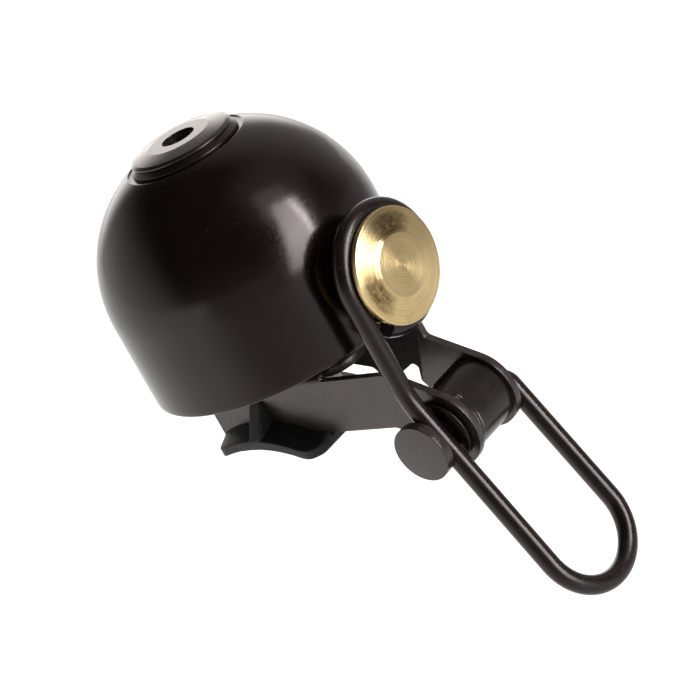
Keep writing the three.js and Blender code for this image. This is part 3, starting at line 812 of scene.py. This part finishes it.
# ---------------------------------------------------------------- stage
# Camera of the photo's view, solved from the bell's circles and the finger loop.
EYE = Vector((279.05, -226.53, 138.79)) * MM
AIM = Vector((13.63, 3.09, 6.67)) * MM
ROLL = math.radians(28.62)
LENS = 152.92

cam_data = bpy.data.cameras.new("camera")
cam_data.lens, cam_data.sensor_width = LENS, 36
cam_data.clip_start, cam_data.clip_end = 0.01, 20
cam = bpy.data.objects.new("camera", cam_data)
cam.location = EYE
cam.rotation_mode = "QUATERNION"
cam.rotation_quaternion = (AIM - EYE).to_track_quat("-Z", "Y") @ Quaternion((0, 0, 1), -ROLL)
bpy.context.scene.collection.objects.link(cam)
bpy.context.scene.camera = cam

floor_mesh = bpy.data.meshes.new("floor")
HALF, DEPTH = 6, -0.12  # of the floor, in metres
floor_mesh.from_pydata([(x * HALF, y * HALF, DEPTH) for x, y in ((-1, -1), (1, -1), (1, 1), (-1, 1))], [],
                       [(0, 1, 2, 3)])
floor = bpy.data.objects.new("floor", floor_mesh)
bpy.context.scene.collection.objects.link(floor)
floor_look = Nodes("pale_floor")
pale = floor_look.mix(floor_look.noise(3, 2), (0.93, 0.93, 0.93), (0.95, 0.95, 0.95))
floor_look.use("Base Color", pale)
floor_look.set(Roughness=0.9)
# Painted light: the floor glows, brightly on its -x side away from the camera and faintly toward it.
sweep = floor_look.add("ShaderNodeVectorMath", operation="DOT_PRODUCT")
sweep.inputs[1].default_value = (-0.98, -0.14, 0)
floor_look.link(floor_look.coords, sweep.inputs[0])
glow = floor_look.range(sweep.outputs["Value"], -0.15, 0.18, 0.14, 0.9, "SMOOTHSTEP")
floor_look.use("Emission Strength", glow)
floor_look.bsdf.inputs["Emission Color"].default_value = (1, 1, 1, 1)
floor_mesh.materials.append(floor_look.mat)

# Studio tent: a bright back wall, a bright left-hand side, dim walls elsewhere and white for the camera.
world = bpy.data.worlds.new("studio")
bpy.context.scene.world = world
world.use_nodes = True
wt = world.node_tree
wt.nodes.clear()
w_out = wt.nodes.new("ShaderNodeOutputWorld")
w_coords = wt.nodes.new("ShaderNodeTexCoord")


def lobe(toward, start, full, strength):
    """Radiance that rises smoothly as the cosine of the angle to a direction goes from start to full."""
    dot = wt.nodes.new("ShaderNodeVectorMath")
    dot.operation = "DOT_PRODUCT"
    dot.inputs[1].default_value = Vector(toward).normalized()
    wt.links.new(w_coords.outputs["Generated"], dot.inputs[0])
    ramp = wt.nodes.new("ShaderNodeMapRange")
    ramp.interpolation_type = "SMOOTHSTEP"
    for key, number in (("From Min", start), ("From Max", full), ("To Min", 0.0), ("To Max", strength)):
        ramp.inputs[key].default_value = number
    wt.links.new(dot.outputs["Value"], ramp.inputs["Value"])
    return ramp.outputs[0]


def plus(a, b):
    node = wt.nodes.new("ShaderNodeMath")
    node.operation = "ADD"
    for i, x in enumerate((a, b)):
        if hasattr(x, "is_output"):
            wt.links.new(x, node.inputs[i])
        else:
            node.inputs[i].default_value = x
    return node.outputs[0]


w_sum = 0.035  # the dim walls
for toward, start, full, strength in (
        ((-0.76, 0.62, 0.1), 0.86, 1.0, 2.2), ((-0.85, -0.4, -0.25), 0.4, 1.0, 0.9),
        ((0.66, 0.3, 0.7), 0.8, 1.0, 0.3), ((-0.3, 0.85, 0.45), 0.6, 1.0, 0.45),
        ((0, 0, -1), -0.35, 0.0, 0.1)):
    w_sum = plus(w_sum, lobe(toward, start, full, strength))
w_path = wt.nodes.new("ShaderNodeLightPath")
w_mix = wt.nodes.new("ShaderNodeMix")
w_mix.data_type = "FLOAT"
wt.links.new(w_path.outputs["Is Camera Ray"], w_mix.inputs[0])
wt.links.new(w_sum, w_mix.inputs[2])
w_mix.inputs[3].default_value = 1.0
w_back = wt.nodes.new("ShaderNodeBackground")
w_back.inputs["Color"].default_value = (1.0, 0.95, 0.92, 1)
wt.links.new(w_mix.outputs[0], w_back.inputs["Strength"])
wt.links.new(w_back.outputs[0], w_out.inputs[0])


def softbox(name, place_at, width, height, power, roll):
    """Rectangular light aimed at the bell: sizes in metres, and roll about the aim in degrees."""
    light = bpy.data.lights.new(name, "AREA")
    light.shape, light.size, light.size_y, light.energy = "RECTANGLE", width, height, power
    light.spread = math.radians(90)
    obj = bpy.data.objects.new(name, light)
    obj.location = place_at
    obj.rotation_mode = "QUATERNION"
    aim = (Vector((0.01, 0, 0.01)) - Vector(place_at)).to_track_quat("-Z", "Y")
    obj.rotation_quaternion = aim @ Quaternion((0, 0, 1), math.radians(roll))
    bpy.context.scene.collection.objects.link(obj)
    return obj


softbox("fill", (0.5, 0.1, 0.43), width=0.28, height=0.3, power=0.06, roll=-30)
softbox("key", (0.62, 0.06, 0.125), width=0.27, height=0.66, power=1.25, roll=-23)
softbox("strip", (0.55, 0.18, 0.16), width=0.04, height=0.4, power=0.22, roll=-10)

bpy.context.scene.view_settings.view_transform = "Standard"
bpy.context.scene.view_settings.look = "None"
